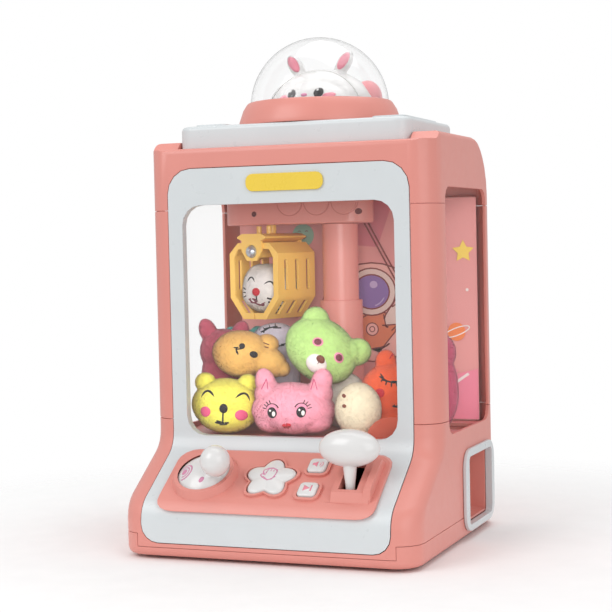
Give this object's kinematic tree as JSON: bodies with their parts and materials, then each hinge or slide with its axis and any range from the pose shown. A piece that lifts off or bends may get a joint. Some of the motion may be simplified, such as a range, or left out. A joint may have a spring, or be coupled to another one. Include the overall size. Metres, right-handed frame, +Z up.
{
  "type": "claw crane machine",
  "caption": "Table-top toy claw crane: coral-pink casing with white bezel, joystick, star button and lift lever, a slewing crane over soft toys, a side prize chute and a domed lid.",
  "frame": {"origin": "centre of the bounding box's footprint, on the plane under the feet", "axes": "+Z up, -Y towards the player, +X towards the prize outlet"},
  "size_m": [0.2328, 0.2216, 0.3885],
  "materials": {
    "pink": "satin moulded plastic, coral pink",
    "white": "satin moulded plastic, cool white",
    "clear": "clear moulded plastic",
    "yellow": "glossy printed plate, bare",
    "claw": "satin moulded plastic, warm yellow",
    "steel": "polished ball",
    "rubber": "matt rubber",
    "dark": "matt dark plastic",
    "board": "green board",
    "cell": "plain battery jacket",
    "card": "printed card with a space scene",
    "amber": "translucent coral plastic",
    "toy_yellow_bear": "short plush pile",
    "toy_pink_cat": "short plush pile",
    "toy_cream_mouse": "short plush pile",
    "toy_orange_fox": "short plush pile",
    "toy_mustard_dog": "short plush pile",
    "toy_green_bear": "short plush pile",
    "toy_rose_owl": "short plush pile",
    "toy_lilac_lamb": "short plush pile",
    "toy_teal_bear": "short plush pile",
    "toy_white_lamb": "short plush pile",
    "toy_plum_mouse": "short plush pile",
    "toy_white_cat": "short plush pile"
  },
  "bodies": {
    "casing": {"base_tray": "pink", "foot_front_left": "rubber", "foot_front_right": "rubber", "foot_rear_left": "rubber", "foot_rear_right": "rubber", "lower_housing": "pink", "front_post_left": "pink", "front_post_right": "pink", "rear_wall": "pink", "upper_housing": "pink", "front_bezel": "white", "front_window": "clear", "title_plate": "yellow", "side_window_left": "clear", "side_window_right": "clear", "control_panel": "pink", "circuit_board": "board", "speaker": "dark", "pit_floor": "pink", "pit_guard": "amber", "backdrop_card": "card", "prize_chute": "pink", "outlet_frame": "white", "column_base": "pink", "battery_box": "dark", "battery_1": "cell", "battery_2": "cell", "toy_yellow_bear": "toy_yellow_bear", "toy_pink_cat": "toy_pink_cat", "toy_cream_mouse": "toy_cream_mouse", "toy_orange_fox": "toy_orange_fox", "toy_mustard_dog": "toy_mustard_dog", "toy_green_bear": "toy_green_bear", "toy_rose_owl": "toy_rose_owl", "toy_lilac_lamb": "toy_lilac_lamb", "toy_teal_bear": "toy_teal_bear", "toy_white_lamb": "toy_white_lamb", "toy_plum_mouse": "toy_plum_mouse"},
    "gimbal": {"joystick_gimbal": "dark"},
    "joystick": {"joystick_cap": "white", "joystick_knob": "white"},
    "star_key": {"star_button": "white"},
    "volume_key": {"volume_button": "white"},
    "track_key": {"track_button": "white"},
    "lever": {"lift_lever": "white", "lever_knob": "white"},
    "column": {"column_tube": "pink"},
    "arm": {"arm_housing": "pink", "arm_cover": "pink", "claw_hub": "claw", "steel_ball": "steel", "toy_white_cat": "toy_white_cat"},
    "left_jaw": {"jaw_left": "claw"},
    "right_jaw": {"jaw_right": "claw"},
    "lid": {"top_lid": "white", "dome_ring": "pink", "clear_dome": "clear", "dome_rabbit": "white"},
    "door": {"battery_door": "pink"},
    "switch": {"power_switch": "dark"}
  },
  "joints": [
    {"name": "joystick_fore_aft", "type": "hinge", "parent": "casing", "child": "gimbal", "pos_m": [-0.0559, -0.07188, 0.04281], "axis": [1, 0, 0], "range_deg": [-27.3, 8.7]},
    {"name": "joystick_side", "type": "hinge", "parent": "gimbal", "child": "joystick", "pos_m": [-0.0559, -0.07188, 0.04281], "axis": [0, 0.7342, 0.6789], "range_deg": [-45.3, 2.7]},
    {"name": "star_press", "type": "slide", "parent": "casing", "child": "star_key", "axis": [0, 0.5513, -0.8343], "range_m": [0, 0.0015], "stiffness_N_per_m": 400, "springref_m": -0.001},
    {"name": "volume_press", "type": "slide", "parent": "casing", "child": "volume_key", "axis": [0, 0.5513, -0.8343], "range_m": [0, 0.0015], "stiffness_N_per_m": 250, "springref_m": -0.001},
    {"name": "track_press", "type": "slide", "parent": "casing", "child": "track_key", "axis": [0, 0.5513, -0.8343], "range_m": [0, 0.0015], "stiffness_N_per_m": 250, "springref_m": -0.001},
    {"name": "column_lift", "type": "slide", "parent": "casing", "child": "column", "axis": [0, 0, 1], "range_m": [-0.045, 0], "deforming": ["toy_yellow_bear", "toy_pink_cat", "toy_cream_mouse", "toy_orange_fox", "toy_mustard_dog", "toy_green_bear", "toy_rose_owl", "toy_lilac_lamb", "toy_teal_bear", "toy_white_lamb", "toy_plum_mouse"]},
    {"name": "lever_tilt", "type": "hinge", "parent": "casing", "child": "lever", "pos_m": [0.06, -0.0894, 0.03794], "axis": [-1, 0, 0], "range_deg": [0, 13.6]},
    {"name": "arm_slew", "type": "hinge", "parent": "column", "child": "arm", "pos_m": [-0.0014, 0.0678, 0], "axis": [0, 0, 1], "range_deg": [0, 180]},
    {"name": "right_jaw_swing", "type": "hinge", "parent": "arm", "child": "right_jaw", "pos_m": [-0.05471, 0.06575, 0.227], "axis": [-0.2924, -0.9563, 0], "range_deg": [0, 20]},
    {"name": "left_jaw_swing", "type": "hinge", "parent": "arm", "child": "left_jaw", "pos_m": [-0.06809, 0.06985, 0.227], "axis": [0.2924, 0.9563, 0], "range_deg": [0, 20]},
    {"name": "lid_hinge", "type": "hinge", "parent": "casing", "child": "lid", "pos_m": [-0.0014, 0.0823, 0.306], "axis": [-1, 0, 0], "range_deg": [0, 80]},
    {"name": "battery_door_hinge", "type": "hinge", "parent": "casing", "child": "door", "pos_m": [-0.0464, 0.1108, 0.0728], "axis": [1, 0, 0], "range_deg": [0, 60]},
    {"name": "power_slide", "type": "slide", "parent": "casing", "child": "switch", "axis": [1, 0, 0], "range_m": [0, 0.0045]}
  ],
  "couplings": [
    {"joint": "lever_tilt", "follows": "column_lift", "rad_per_m": -5.2748},
    {"joint": "left_jaw_swing", "follows": "right_jaw_swing", "ratio": 1}
  ]
}
